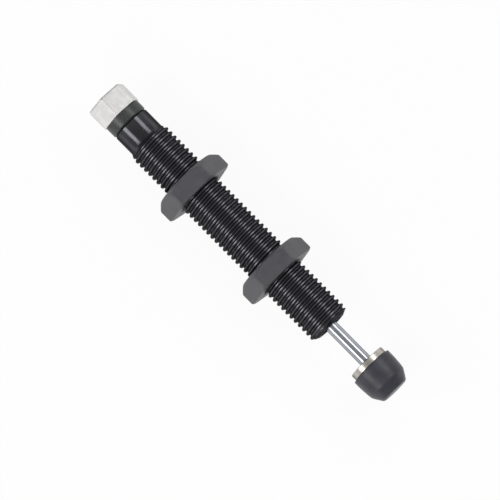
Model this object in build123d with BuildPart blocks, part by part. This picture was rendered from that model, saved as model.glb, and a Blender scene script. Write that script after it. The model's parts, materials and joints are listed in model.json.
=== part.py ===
from build123d import *
import os
from math import cos, pi, radians, sin, tan

# Adjustable miniature hydraulic shock absorber with a fine outside thread and two lock nuts.
# Millimetres. +X runs along the axis towards the bumper, +Z is up, and the absorber lies on
# the lower flats of its nuts. x = 0 is the front end face of the body, so the inside of the
# body has negative x. The rod is fully out.

os.makedirs("parts", exist_ok=True)

# Body, outside. Plain V-shaped rings, wider apart than its 1 mm pitch, stand for the thread.
# Its major diameter, 8 mm, follows from the wall and from what the rear bore takes.
body_wall = 1.3
thread_length = 42.8
thread_ring_spacing = 1.8
thread_depth = 0.6
front_chamfer_width = 1.15
front_chamfer_length = 0.55
runout_length = 1.0
tail_step = 0.52
tail_length = 3.85
tail_edge = 0.15

# Body, inside. The front bore takes the gland pack, the rear bore the metering parts.
rim_thickness = 0.5
rim_lip = 0.6
shoulder_step = 0.2

# Lock nuts.
nut_across_flats = 12.0
nut_thickness = 3.5
nut_rear_bevel = 0.15
nut_rear_chamfer_angle = 45.0
nut_front_corner_land = 0.45
nut_front_chamfer_angle = 30.0
nut_countersink = 0.4
front_nut_from_front = 11.75
nut_spacing = 16.25

# Rod, cap and bumper.
rod_d = 2.25
stroke = 8.0
cap_clearance = 0.38
cap_d = 6.9
cap_thickness = 1.13
cap_edge = 0.15
hub_d = 3.8
hub_length = 2.9
barb_height = 0.3
barb_length = 0.7
rod_in_hub = 3.2
bumper_d = 7.86
bumper_taper = 0.23
bumper_nose_d = 4.8
bumper_length = 5.8
bumper_nose_length = 1.84
bumper_crown = 0.06
bumper_edge = 0.2

# Gland pack, from the front.
gland_ring_thickness = 1.0
gland_ring_gap = 0.425
wiper_thickness = 1.0
wiper_lip_length = 1.1
wiper_lip_wall = 0.22
wiper_lip_root = 0.33
seal_length = 1.8
seal_lip_wall = 0.45
seal_groove_depth = 1.0
seal_washer_thickness = 0.5
rod_passage_gap = 0.225
bearing_length = 5.0
bearing_flute_d = 0.5
flute_count = 4
foam_space = 7.0
spacer_gap = 0.325
spacer_wall = 0.3
spacer_port_d = 0.8
spacer_port_count = 4
foam_end_gap = 0.1

# Tube head and pressure tube.
head_thickness = 2.0
head_port_d = 0.4
head_port_count = 6
tube_seat_depth = 1.2
rod_oil_gap = 0.625
tube_wall = 0.35
orifice_d = 0.4
orifice_count = 5

# Piston group on the rod's neck.
piston_length = 2.6
piston_port_d = 0.3
piston_port_count = 6
piston_ring_width = 0.6
piston_ring_depth = 0.16
check_plate_margin = 0.13
check_plate_thickness = 0.35
check_plate_float = 0.25
neck_d = 1.3
stud_d = 1.0
seat_margin = 0.05
seat_thickness = 0.4
seat_boss_gap = 0.1
seat_boss_height = 0.5
seat_notch_width = 0.7
seat_notch_depth = 0.2
seat_notch_count = 4
piston_nut_d = 1.8
piston_nut_length = 0.8
stud_overhang = 0.2

# Return spring.
spring_side_gap = 0.3
spring_wire_d = 0.3
spring_turns = 9

# Tube plug, key pin and metering sleeve.
plug_spigot_length = 1.4
plug_flange_thickness = 0.6
key_pin_d = 0.6
key_pin_depth = 1.2
sleeve_wall = 0.28
sleeve_oil_gap = 0.3
sleeve_port_d = 0.8
sleeve_lead = 1.0
web_thickness = 0.8
web_front_gap = 0.7
web_rear_gap = 0.7
drive_screw_d = 1.5
drive_screw_pitch = 0.7
drive_screw_tip = 0.5

# Rear plug, spindle and stop.
adjuster_half_turn = 150.0
rear_plug_length = 2.5
retaining_ring_setback = 1.6
retaining_ring_thickness = 0.4
retaining_ring_depth = 0.25
retaining_ring_reach = 0.35
retaining_ring_opening = 50.0
spindle_d = 2.2
thrust_flange_step = 0.5
thrust_flange_thickness = 0.6
stop_pin_d = 0.6
stop_pin_gap = 0.1
stop_pin_depth = 1.2
stop_hub_wall = 0.45
stop_arm_thickness = 0.75
stop_arm_setback = 0.2

# Adjuster knob and index ring.
index_ring_gap = 0.12
index_ring_d = 7.04
index_ring_width = 2.1
index_ring_chamfer = 0.25
knob_across_flats = 7.0
knob_length = 4.0
knob_bevel = 0.3
knob_chamfer_angle = 60.0
knob_turn = 38.5
knob_neck_d = 3.6
spindle_in_knob = 2.0
slot_width = 0.8
slot_depth = 0.7

# O-rings, as section diameters, and how much wider than its ring a groove is.
bearing_o_ring_d = 0.6
plug_o_ring_d = 0.5
spindle_o_ring_d = 0.36
o_ring_room = 0.16

# Sides that the round section of an O-ring and of the spring's wire is drawn with.
o_ring_sides = 8
wire_sides = 6

# Clearances, radial where they surround a shaft.
running_gap = 0.02
push_gap = 0.02
thread_gap = 0.03
end_play = 0.05
stop_gap = 0.015

# Places along the axis, outside of the body.
thread_front = -front_chamfer_length
thread_rear = thread_front - thread_length
tail_front = thread_rear - runout_length
body_rear = tail_front - tail_length
front_nut_front = -front_nut_from_front
front_nut_rear = front_nut_front - nut_thickness
rear_nut_front = front_nut_rear - nut_spacing
rear_nut_rear = rear_nut_front - nut_thickness
cap_rear = stroke + cap_clearance
cap_front = cap_rear + cap_thickness
hub_front = cap_front + hub_length
bumper_front = cap_front + bumper_length
ring_front = body_rear - index_ring_gap
ring_rear = ring_front - index_ring_width
knob_rear = ring_rear - knob_length

# Places of the gland pack, each piece against the one before.
gland_front = -rim_thickness
wiper_front = gland_front - gland_ring_thickness
seal_front = wiper_front - wiper_thickness
washer_front = seal_front - seal_length
bearing_front = washer_front - seal_washer_thickness
spacer_front = bearing_front - bearing_length
head_front = spacer_front - foam_space
shoulder_x = head_front - head_thickness
tube_front = shoulder_x + tube_seat_depth

# Places of the piston group, with the piston against the tube head.
piston_front = tube_front - end_play
piston_rear = piston_front - piston_length
plate_front = piston_rear - running_gap
plate_rear = plate_front - check_plate_thickness
seat_front = plate_rear - check_plate_float - running_gap
seat_rear = seat_front - seat_thickness
nut_front = seat_rear - seat_boss_height
nut_rear = nut_front - piston_nut_length
stud_rear = nut_rear - stud_overhang

# Places at the rear, counted from the body's rear end.
retaining_ring_rear = body_rear + retaining_ring_setback
rear_plug_rear = retaining_ring_rear + retaining_ring_thickness
rear_plug_front = rear_plug_rear + rear_plug_length
flange_rear = rear_plug_front + end_play
flange_front = flange_rear + thrust_flange_thickness
web_rear = flange_front + web_rear_gap
web_front = web_rear + web_thickness
plug_rear = web_front + web_front_gap
tube_rear = plug_rear + plug_flange_thickness
plug_front = tube_rear + plug_spigot_length
stop_hub_front = rear_plug_rear - end_play
stop_arm_front = retaining_ring_rear - stop_arm_setback
stop_arm_rear = stop_arm_front - stop_arm_thickness
spindle_rear = ring_rear - spindle_in_knob

# Radii that follow from the sizes above, from the rod outwards.
rod_r = rod_d / 2
rod_bore_r = rod_r + running_gap
rod_passage_r = rod_r + rod_passage_gap
neck_r = neck_d / 2
stud_r = stud_d / 2
tube_bore_r = rod_r + rod_oil_gap
tube_r = tube_bore_r + tube_wall
piston_r = tube_bore_r - running_gap
sleeve_bore_r = tube_r + running_gap
sleeve_r = sleeve_bore_r + sleeve_wall
rear_bore_r = sleeve_r + sleeve_oil_gap
front_bore_r = rear_bore_r + shoulder_step
rim_bore_r = front_bore_r - rim_lip
pack_r = front_bore_r - push_gap
body_r = rear_bore_r + body_wall
tail_r = body_r - tail_step

# Radii of the rear plug, the spindle and its stop.
rear_plug_r = rear_bore_r - push_gap
ring_groove_r = rear_bore_r + retaining_ring_depth
retaining_ring_bore_r = rear_bore_r - retaining_ring_reach
spindle_r = spindle_d / 2
rear_plug_bore_r = spindle_r + running_gap
stop_hub_r = spindle_r + stop_hub_wall
stop_pin_circle_r = stop_hub_r + stop_pin_gap + stop_pin_d / 2
stop_arm_reach = retaining_ring_bore_r - end_play

# The arm's flank meets the pin at the end of the adjuster's turn.
stop_arm_width = 2 * (
    stop_pin_circle_r * sin(radians(180 - adjuster_half_turn)) - stop_pin_d / 2 - stop_gap
)


def export(part, name):
    """Label a finished piece and write its STEP file."""
    part.label = name
    export_step(part, f"parts/{name}.step")


def turned(name, outline):
    """A piece turned about X from a closed outline of (x, radius) points."""
    with BuildPart() as piece:
        with BuildSketch(Plane.XY):
            with BuildLine():
                Polyline(*outline, close=True)
            make_face()
        revolve(axis=Axis.X)
    export(piece.part, name)


def o_ring(name, x, outer_r, section_d):
    """A round-section seal ring about X that touches the bore of radius outer_r."""
    with BuildPart() as ring:
        with BuildSketch(Plane.XY):
            with Locations((x, outer_r - section_d / 2)):
                RegularPolygon(section_d / 2, o_ring_sides)
        revolve(axis=Axis.X)
    export(ring.part, name)


def chamfer_depth(corner_r, face_r, angle):
    """How far along X a chamfer at this angle to the face runs along a hexagon's corner."""
    return (corner_r - face_r) * tan(radians(angle))


# Thread rings, with a crest at both ends of the threaded length.
thread_rings = round(thread_length / thread_ring_spacing)
ring_step = thread_length / thread_rings
thread_outline = [(thread_front, body_r)]
for ring in range(thread_rings):
    thread_outline.append((thread_front - (ring + 0.5) * ring_step, body_r - thread_depth))
    thread_outline.append((thread_front - (ring + 1) * ring_step, body_r))

# Body: one turned tube with a rolled-over front rim, a shoulder between its two bores, and
# a groove for the retaining ring near its open rear end.
with BuildPart() as body_tube:
    with BuildSketch(Plane.XY):
        with BuildLine():
            Polyline(
                (0, rim_bore_r),
                (0, body_r - front_chamfer_width),
                *thread_outline,
                (tail_front, tail_r),
                (body_rear + tail_edge, tail_r),
                (body_rear, tail_r - tail_edge),
                (body_rear, rear_bore_r),
                (retaining_ring_rear, rear_bore_r),
                (retaining_ring_rear, ring_groove_r),
                (rear_plug_rear, ring_groove_r),
                (rear_plug_rear, rear_bore_r),
                (shoulder_x, rear_bore_r),
                (shoulder_x, front_bore_r),
                (gland_front, front_bore_r),
                (gland_front, rim_bore_r),
                close=True,
            )
        make_face()
    revolve(axis=Axis.X)
export(body_tube.part, "body_tube")

# Lock nuts, with a wide chamfer on the rear face, a light one on the front face, and a
# countersink at both ends of the bore.
nut_bore_r = body_r + thread_gap
nut_corner_r = nut_across_flats / 2 / cos(pi / 6)
nut_rear_face_r = nut_across_flats / 2 - nut_rear_bevel
nut_front_face_r = nut_across_flats / 2 + nut_front_corner_land
nut_rear_chamfer = chamfer_depth(nut_corner_r, nut_rear_face_r, nut_rear_chamfer_angle)
nut_front_chamfer = chamfer_depth(nut_corner_r, nut_front_face_r, nut_front_chamfer_angle)
for nut_name, nut_x in (("front_lock_nut", front_nut_rear), ("rear_lock_nut", rear_nut_rear)):
    with BuildPart() as lock_nut:
        with BuildSketch(Plane.XY):
            with BuildLine():
                Polyline(
                    (nut_x, nut_bore_r + nut_countersink),
                    (nut_x, nut_rear_face_r),
                    (nut_x + nut_rear_chamfer, nut_corner_r),
                    (nut_x + nut_thickness - nut_front_chamfer, nut_corner_r),
                    (nut_x + nut_thickness, nut_front_face_r),
                    (nut_x + nut_thickness, nut_bore_r + nut_countersink),
                    (nut_x + nut_thickness - nut_countersink, nut_bore_r),
                    (nut_x + nut_countersink, nut_bore_r),
                    close=True,
                )
            make_face()
        revolve(axis=Axis.X)
        with BuildSketch(Plane.YZ.offset(nut_x)):
            RegularPolygon(nut_across_flats / 2, 6, major_radius=False)
        extrude(amount=nut_thickness, mode=Mode.INTERSECT)
    export(lock_nut.part, nut_name)

# Gland pack.
gland_ring_bore_r = rod_r + gland_ring_gap
turned(
    "gland_ring",
    [
        (gland_front, gland_ring_bore_r),
        (gland_front, pack_r),
        (wiper_front, pack_r),
        (wiper_front, gland_ring_bore_r),
    ],
)

# The wiper's lip leans forward through the gland ring and touches the rod at its tip.
lip_tip = wiper_front + wiper_lip_length
turned(
    "wiper",
    [
        (seal_front, rod_bore_r + wiper_lip_wall),
        (seal_front, pack_r),
        (wiper_front, pack_r),
        (wiper_front, rod_bore_r + wiper_lip_root),
        (lip_tip, rod_bore_r + wiper_lip_wall / 2),
        (lip_tip, rod_bore_r),
        (wiper_front, rod_bore_r + wiper_lip_wall / 2),
    ],
)

# The rod seal is a lip seal with its groove towards the oil.
turned(
    "rod_seal",
    [
        (seal_front, rod_bore_r + seal_lip_wall / 2),
        (seal_front, pack_r),
        (washer_front, pack_r),
        (washer_front, pack_r - seal_lip_wall),
        (washer_front + seal_groove_depth, (pack_r + rod_bore_r) / 2),
        (washer_front, rod_bore_r + seal_lip_wall),
        (washer_front, rod_bore_r),
        (washer_front + seal_groove_depth, rod_bore_r),
    ],
)

turned(
    "seal_washer",
    [
        (washer_front, rod_passage_r),
        (washer_front, pack_r),
        (bearing_front, pack_r),
        (bearing_front, rod_passage_r),
    ],
)

# Rod bearing, with an O-ring groove outside and flutes that let oil reach the seal.
bearing_mid = (bearing_front + spacer_front) / 2
bearing_groove = bearing_o_ring_d + o_ring_room
bearing_groove_r = front_bore_r - bearing_o_ring_d
with BuildPart() as rod_bearing:
    with BuildSketch(Plane.XY):
        with BuildLine():
            Polyline(
                (bearing_front, rod_bore_r),
                (bearing_front, pack_r),
                (bearing_mid + bearing_groove / 2, pack_r),
                (bearing_mid + bearing_groove / 2, bearing_groove_r),
                (bearing_mid - bearing_groove / 2, bearing_groove_r),
                (bearing_mid - bearing_groove / 2, pack_r),
                (spacer_front, pack_r),
                (spacer_front, rod_bore_r),
                close=True,
            )
        make_face()
    revolve(axis=Axis.X)
    with BuildSketch(Plane.YZ.offset(spacer_front)):
        with PolarLocations(rod_bore_r, flute_count, start_angle=45):
            Circle(bearing_flute_d / 2)
    extrude(amount=bearing_length, mode=Mode.SUBTRACT)
export(rod_bearing.part, "rod_bearing")
o_ring("bearing_o_ring", bearing_mid, front_bore_r, bearing_o_ring_d)

# The spacer tube holds the tube head against the shoulder and lets oil out to the foam.
spacer_bore_r = rod_r + spacer_gap
spacer_r = spacer_bore_r + spacer_wall
foam_mid = (spacer_front + head_front) / 2
with BuildPart() as spacer_tube:
    with BuildSketch(Plane.YZ.offset(head_front)):
        Circle(spacer_r)
        Circle(spacer_bore_r, mode=Mode.SUBTRACT)
    extrude(amount=foam_space)
    for port in range(spacer_port_count):
        port_plane = Plane.XY.rotated((360 * port / spacer_port_count, 0, 0))
        with BuildSketch(port_plane):
            with Locations((foam_mid, 0)):
                Circle(spacer_port_d / 2)
        extrude(amount=spacer_r + spacer_wall, mode=Mode.SUBTRACT)
export(spacer_tube.part, "spacer_tube")

turned(
    "accumulator_foam",
    [
        (spacer_front - foam_end_gap, spacer_r),
        (spacer_front - foam_end_gap, front_bore_r),
        (head_front + foam_end_gap, front_bore_r),
        (head_front + foam_end_gap, spacer_r),
    ],
)

# The tube head seats on the body's shoulder, holds the pressure tube in its counterbore, and
# has ports between the outer oil space and the foam.
with BuildPart() as tube_head:
    with BuildSketch(Plane.YZ.offset(shoulder_x)):
        Circle(pack_r)
        Circle(rod_passage_r, mode=Mode.SUBTRACT)
        with PolarLocations((tube_r + rear_bore_r) / 2, head_port_count):
            Circle(head_port_d / 2, mode=Mode.SUBTRACT)
    extrude(amount=head_thickness)
    with BuildSketch(Plane.YZ.offset(shoulder_x)):
        Circle(tube_r)
    extrude(amount=tube_seat_depth, mode=Mode.SUBTRACT)
export(tube_head.part, "tube_head")

# Orifices along the stroke. The piston closes them one after another.
orifice_step = stroke / orifice_count
orifice_places = [piston_rear - orifice_step * (i + 0.5) for i in range(orifice_count)]
key_pin_x = (plug_front + tube_rear) / 2

with BuildPart() as pressure_tube:
    with BuildSketch(Plane.YZ.offset(tube_rear)):
        Circle(tube_r)
        Circle(tube_bore_r, mode=Mode.SUBTRACT)
    extrude(amount=tube_front - tube_rear)
    with BuildSketch(Plane.XY):
        with Locations(*[(x, 0) for x in orifice_places]):
            Circle(orifice_d / 2)
        with Locations((key_pin_x, 0)):
            Circle(key_pin_d / 2)
    extrude(amount=tube_r + tube_wall, mode=Mode.SUBTRACT)
export(pressure_tube.part, "pressure_tube")

# Tube plug, with a blind hole for the key pin.
plug_spigot_r = tube_bore_r - push_gap
pin_bottom = tube_r - key_pin_depth
with BuildPart() as tube_plug:
    with BuildSketch(Plane.YZ.offset(plug_rear)):
        Circle(tube_r)
    extrude(amount=plug_flange_thickness)
    with BuildSketch(Plane.YZ.offset(tube_rear)):
        Circle(plug_spigot_r)
    extrude(amount=plug_spigot_length)
    with BuildSketch(Plane.XY.offset(pin_bottom)):
        with Locations((key_pin_x, 0)):
            Circle(key_pin_d / 2)
    extrude(amount=key_pin_depth, mode=Mode.SUBTRACT)
export(tube_plug.part, "tube_plug")

with BuildPart() as key_pin:
    with BuildSketch(Plane.XY.offset(pin_bottom)):
        with Locations((key_pin_x, 0)):
            Circle(key_pin_d / 2)
    extrude(amount=sleeve_r - pin_bottom)
export(key_pin.part, "key_pin")

# Metering sleeve: slides on the pressure tube without turning, with one port over each
# orifice and a tapped web that the drive screw moves.
sleeve_travel = drive_screw_pitch * adjuster_half_turn / 360
sleeve_front = orifice_places[0] + sleeve_lead
key_slot_length = key_pin_d + 2 * (sleeve_travel + end_play)
with BuildPart() as metering_sleeve:
    with BuildSketch(Plane.YZ.offset(web_rear)):
        Circle(sleeve_r)
    extrude(amount=sleeve_front - web_rear)
    with BuildSketch(Plane.YZ.offset(web_front)):
        Circle(sleeve_bore_r)
    extrude(amount=sleeve_front - web_front, mode=Mode.SUBTRACT)
    with BuildSketch(Plane.YZ.offset(web_rear)):
        Circle(drive_screw_d / 2 + running_gap)
    extrude(amount=web_thickness, mode=Mode.SUBTRACT)
    with BuildSketch(Plane.XY):
        with Locations(*[(x - sleeve_travel, 0) for x in orifice_places]):
            Circle(sleeve_port_d / 2)
        with Locations((key_pin_x, 0)):
            SlotOverall(key_slot_length, key_pin_d + 2 * running_gap)
    extrude(amount=sleeve_r + sleeve_wall, mode=Mode.SUBTRACT)
export(metering_sleeve.part, "metering_sleeve")

# Rod: polished shaft with a neck for the piston and check plate, and a stud for the nut.
rod_front = cap_rear + rod_in_hub
turned(
    "piston_rod",
    [
        (rod_front, 0),
        (rod_front, rod_r),
        (piston_front, rod_r),
        (piston_front, neck_r),
        (seat_front, neck_r),
        (seat_front, stud_r),
        (stud_rear, stud_r),
        (stud_rear, 0),
    ],
)

# Piston head, with a groove for its ring and ports that the check plate closes.
piston_mid = (piston_front + piston_rear) / 2
piston_groove_r = piston_r - piston_ring_depth
with BuildPart() as piston_head:
    with BuildSketch(Plane.XY):
        with BuildLine():
            Polyline(
                (piston_front, neck_r),
                (piston_front, piston_r),
                (piston_mid + piston_ring_width / 2, piston_r),
                (piston_mid + piston_ring_width / 2, piston_groove_r),
                (piston_mid - piston_ring_width / 2, piston_groove_r),
                (piston_mid - piston_ring_width / 2, piston_r),
                (piston_rear, piston_r),
                (piston_rear, neck_r),
                close=True,
            )
        make_face()
    revolve(axis=Axis.X)
    with BuildSketch(Plane.YZ.offset(piston_rear)):
        with PolarLocations((neck_r + piston_r) / 2, piston_port_count):
            Circle(piston_port_d / 2)
    extrude(amount=piston_length, mode=Mode.SUBTRACT)
export(piston_head.part, "piston_head")

turned(
    "piston_ring",
    [
        (piston_mid + piston_ring_width / 2, piston_groove_r),
        (piston_mid + piston_ring_width / 2, tube_bore_r - running_gap / 2),
        (piston_mid - piston_ring_width / 2, tube_bore_r - running_gap / 2),
        (piston_mid - piston_ring_width / 2, piston_groove_r),
    ],
)

check_plate_r = piston_r - check_plate_margin
turned(
    "check_plate",
    [
        (plate_front, neck_r + running_gap),
        (plate_front, check_plate_r),
        (plate_rear, check_plate_r),
        (plate_rear, neck_r + running_gap),
    ],
)

# Spring seat: a notched disc against the neck's end, with a boss that centres the spring.
spring_mean_r = tube_bore_r - spring_side_gap - spring_wire_d / 2
seat_r = tube_bore_r - seat_margin
seat_boss_r = spring_mean_r - spring_wire_d / 2 - seat_boss_gap
with BuildPart() as spring_seat:
    with BuildSketch(Plane.YZ.offset(seat_rear)):
        Circle(seat_r)
        with PolarLocations(seat_r, seat_notch_count):
            Rectangle(2 * seat_notch_depth, seat_notch_width, mode=Mode.SUBTRACT)
    extrude(amount=seat_thickness)
    with BuildSketch(Plane.YZ.offset(nut_front)):
        Circle(seat_boss_r)
    extrude(amount=seat_boss_height)
    with BuildSketch(Plane.YZ.offset(nut_front)):
        Circle(stud_r)
    extrude(amount=seat_boss_height + seat_thickness, mode=Mode.SUBTRACT)
export(spring_seat.part, "spring_seat")

with BuildPart() as piston_nut:
    with BuildSketch(Plane.YZ.offset(nut_rear)):
        RegularPolygon(piston_nut_d / 2, 6)
        Circle(stud_r, mode=Mode.SUBTRACT)
    extrude(amount=piston_nut_length)
export(piston_nut.part, "piston_nut")

# Return spring: a round-wire helix from the spring seat to the tube plug.
spring_length = seat_rear - plug_front
helix_height = spring_length - spring_wire_d
with BuildPart() as return_spring:
    with BuildLine():
        wire_path = Helix(
            helix_height / spring_turns,
            helix_height,
            spring_mean_r,
            center=(plug_front + spring_wire_d / 2, 0, 0),
            direction=(1, 0, 0),
        )
    with BuildSketch(Plane(origin=wire_path @ 0, z_dir=wire_path % 0)):
        RegularPolygon(spring_wire_d / 2, wire_sides)
    sweep(path=wire_path, is_frenet=True)
export(return_spring.part, "return_spring")

# Cap: a flange on the rod's end with a barbed hub that holds the bumper.
hub_r = hub_d / 2
turned(
    "cap_ring",
    [
        (cap_rear, rod_r),
        (cap_rear, cap_d / 2 - cap_edge),
        (cap_rear + cap_edge, cap_d / 2),
        (cap_front, cap_d / 2),
        (cap_front, hub_r),
        (hub_front - barb_length, hub_r),
        (hub_front - barb_length, hub_r + barb_height),
        (hub_front, hub_r),
        (hub_front, 0),
        (rod_front, 0),
        (rod_front, rod_r),
    ],
)

# Bumper: a crowned side, a conical nose with a flat end, and a pocket over the hub.
bumper_r = bumper_d / 2
shoulder_r = bumper_r - bumper_taper
nose_start = bumper_front - bumper_nose_length
crown_mid = ((cap_front + bumper_edge + nose_start) / 2, (bumper_r + shoulder_r) / 2 + bumper_crown)
with BuildPart() as bumper:
    with BuildSketch(Plane.XY):
        with BuildLine():
            Polyline(
                (bumper_front, 0),
                (hub_front, 0),
                (hub_front, hub_r),
                (hub_front - barb_length, hub_r + barb_height),
                (hub_front - barb_length, hub_r),
                (cap_front, hub_r),
                (cap_front, bumper_r - bumper_edge),
                (cap_front + bumper_edge, bumper_r),
                crown_mid,
                (nose_start, shoulder_r),
                (bumper_front, bumper_nose_d / 2),
                close=True,
            )
        make_face()
    revolve(axis=Axis.X)
    nose_edge = bumper.edges().filter_by(GeomType.CIRCLE).group_by(Axis.X)[-1]
    chamfer(nose_edge, bumper_edge)
export(bumper.part, "bumper")

# Rear plug, with a groove for its O-ring and a blind hole for the stop pin.
plug_groove = plug_o_ring_d + o_ring_room
plug_groove_x = rear_plug_front - plug_groove
stop_pin_front = rear_plug_rear + stop_pin_depth
with BuildPart() as rear_plug:
    with BuildSketch(Plane.XY):
        with BuildLine():
            Polyline(
                (rear_plug_front, rear_plug_bore_r),
                (rear_plug_front, rear_plug_r),
                (plug_groove_x + plug_groove / 2, rear_plug_r),
                (plug_groove_x + plug_groove / 2, rear_bore_r - plug_o_ring_d),
                (plug_groove_x - plug_groove / 2, rear_bore_r - plug_o_ring_d),
                (plug_groove_x - plug_groove / 2, rear_plug_r),
                (rear_plug_rear, rear_plug_r),
                (rear_plug_rear, rear_plug_bore_r),
                close=True,
            )
        make_face()
    revolve(axis=Axis.X)
    with BuildSketch(Plane.YZ.offset(rear_plug_rear)):
        with Locations((0, -stop_pin_circle_r)):
            Circle(stop_pin_d / 2)
    extrude(amount=stop_pin_depth, mode=Mode.SUBTRACT)
export(rear_plug.part, "rear_plug")
o_ring("rear_plug_o_ring", plug_groove_x, rear_bore_r, plug_o_ring_d)

# Retaining ring, open at the top where its pliers go in.
opening_height = 2 * ring_groove_r
opening_half_width = opening_height * tan(radians(retaining_ring_opening / 2))
with BuildPart() as retaining_ring:
    with BuildSketch(Plane.YZ.offset(retaining_ring_rear)):
        Circle(ring_groove_r - push_gap)
        Circle(retaining_ring_bore_r, mode=Mode.SUBTRACT)
        with BuildLine():
            Polyline(
                (0, 0),
                (-opening_half_width, opening_height),
                (opening_half_width, opening_height),
                close=True,
            )
        make_face(mode=Mode.SUBTRACT)
    extrude(amount=retaining_ring_thickness)
export(retaining_ring.part, "retaining_ring")

# Stop pin, just short of the knob's neck.
with BuildPart() as stop_pin:
    with BuildSketch(Plane.YZ.offset(stop_arm_rear + end_play)):
        with Locations((0, -stop_pin_circle_r)):
            Circle(stop_pin_d / 2)
    extrude(amount=stop_pin_front - stop_arm_rear - end_play)
export(stop_pin.part, "stop_pin")

# Spindle: drive screw in front, thrust flange, then a shaft with an O-ring groove that runs
# through the rear plug into the knob.
screw_tip = web_front + drive_screw_tip
spindle_groove = spindle_o_ring_d + o_ring_room
spindle_groove_x = (rear_plug_front + rear_plug_rear) / 2
spindle_groove_r = rear_plug_bore_r - spindle_o_ring_d
turned(
    "adjuster_spindle",
    [
        (screw_tip, 0),
        (screw_tip, drive_screw_d / 2),
        (flange_front, drive_screw_d / 2),
        (flange_front, spindle_r + thrust_flange_step),
        (flange_rear, spindle_r + thrust_flange_step),
        (flange_rear, spindle_r),
        (spindle_groove_x + spindle_groove / 2, spindle_r),
        (spindle_groove_x + spindle_groove / 2, spindle_groove_r),
        (spindle_groove_x - spindle_groove / 2, spindle_groove_r),
        (spindle_groove_x - spindle_groove / 2, spindle_r),
        (spindle_rear, spindle_r),
        (spindle_rear, 0),
    ],
)
o_ring("spindle_o_ring", spindle_groove_x, rear_plug_bore_r, spindle_o_ring_d)

# Stop arm: a hub on the spindle with one finger that meets the stop pin.
with BuildPart() as stop_arm:
    with BuildSketch(Plane.YZ.offset(stop_arm_rear)):
        Circle(stop_hub_r)
    extrude(amount=stop_hub_front - stop_arm_rear)
    with BuildSketch(Plane.YZ.offset(stop_arm_rear)):
        with Locations((0, stop_arm_reach / 2)):
            Rectangle(stop_arm_width, stop_arm_reach)
    extrude(amount=stop_arm_thickness)
    with BuildSketch(Plane.YZ.offset(stop_arm_rear)):
        Circle(spindle_r)
    extrude(amount=stop_hub_front - stop_arm_rear, mode=Mode.SUBTRACT)
export(stop_arm.part, "stop_arm")

# Index ring on the knob's neck.
turned(
    "index_ring",
    [
        (ring_front, knob_neck_d / 2),
        (ring_front, index_ring_d / 2 - index_ring_chamfer),
        (ring_front - index_ring_chamfer, index_ring_d / 2),
        (ring_rear, index_ring_d / 2),
        (ring_rear, knob_neck_d / 2),
    ],
)

# Knob: a hexagon with chamfered rear corners and a slot, and a neck that carries the ring.
knob_corner_r = knob_across_flats / 2 / cos(pi / 6)
knob_face_r = knob_across_flats / 2 - knob_bevel
knob_chamfer = chamfer_depth(knob_corner_r, knob_face_r, knob_chamfer_angle)
with BuildPart() as adjuster_knob:
    with BuildSketch(Plane.XY):
        with BuildLine():
            Polyline(
                (knob_rear, 0),
                (knob_rear, knob_face_r),
                (knob_rear + knob_chamfer, knob_corner_r),
                (ring_rear, knob_corner_r),
                (ring_rear, 0),
                close=True,
            )
        make_face()
    revolve(axis=Axis.X)
    with BuildSketch(Plane.YZ.offset(knob_rear)):
        RegularPolygon(knob_across_flats / 2, 6, major_radius=False, rotation=knob_turn)
    extrude(amount=knob_length, mode=Mode.INTERSECT)
    with BuildSketch(Plane.YZ.offset(ring_rear)):
        Circle(knob_neck_d / 2)
    extrude(amount=stop_arm_rear - ring_rear)
    with BuildSketch(Plane.YZ.offset(spindle_rear)):
        Circle(spindle_r)
    extrude(amount=stop_arm_rear - spindle_rear, mode=Mode.SUBTRACT)
    with BuildSketch(Plane.YZ.offset(knob_rear)):
        Rectangle(slot_width, knob_across_flats * 2, rotation=knob_turn)
    extrude(amount=slot_depth, mode=Mode.SUBTRACT)
export(adjuster_knob.part, "adjuster_knob")
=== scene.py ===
"""Looks of an adjustable miniature hydraulic shock absorber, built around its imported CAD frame.

Sizes are millimetres until a mesh is written, because the frame and Blender are in metres. +X runs
along the axis towards the bumper and +Z is up.
"""

import json
import logging
import math
from collections.abc import Sequence
from dataclasses import dataclass
from enum import Enum

import bmesh
import bpy
import numpy as np
from mathutils import Matrix, Vector
from numpy.typing import NDArray


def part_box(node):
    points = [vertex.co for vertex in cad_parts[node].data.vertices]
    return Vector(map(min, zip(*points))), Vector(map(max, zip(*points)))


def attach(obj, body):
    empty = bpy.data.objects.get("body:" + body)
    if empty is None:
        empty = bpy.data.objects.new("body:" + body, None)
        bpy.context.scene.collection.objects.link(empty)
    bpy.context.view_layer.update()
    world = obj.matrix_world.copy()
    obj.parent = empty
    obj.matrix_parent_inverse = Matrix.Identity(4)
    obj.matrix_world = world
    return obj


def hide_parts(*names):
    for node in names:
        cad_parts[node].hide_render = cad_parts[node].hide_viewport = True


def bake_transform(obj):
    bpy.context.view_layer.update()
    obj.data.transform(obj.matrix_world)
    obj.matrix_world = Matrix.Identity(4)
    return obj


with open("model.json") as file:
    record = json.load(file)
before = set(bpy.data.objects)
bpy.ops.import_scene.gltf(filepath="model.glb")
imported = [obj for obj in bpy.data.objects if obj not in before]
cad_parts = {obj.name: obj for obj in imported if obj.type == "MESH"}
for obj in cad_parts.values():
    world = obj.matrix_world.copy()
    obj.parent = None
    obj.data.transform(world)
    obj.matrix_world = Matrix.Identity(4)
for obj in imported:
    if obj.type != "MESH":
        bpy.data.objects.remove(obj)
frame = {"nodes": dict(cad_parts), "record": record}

log = logging.getLogger("shock_absorber")

MM = 0.001
TURN = 2 * math.pi
COLUMNS = 120
ROUNDING_STEPS = 3
MERGE_DISTANCE = 2e-7

# Edges that turn by more than these angles, in degrees, stay sharp.
SHARP_HEXAGON = 28.0
SHARP_TURNED = 32.0
SHARP_THREAD = 34.0
SHARP_BUMPER = 40.0
SHARP_WIRE = 50.0
SHARP_O_RING = 60.0

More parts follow.
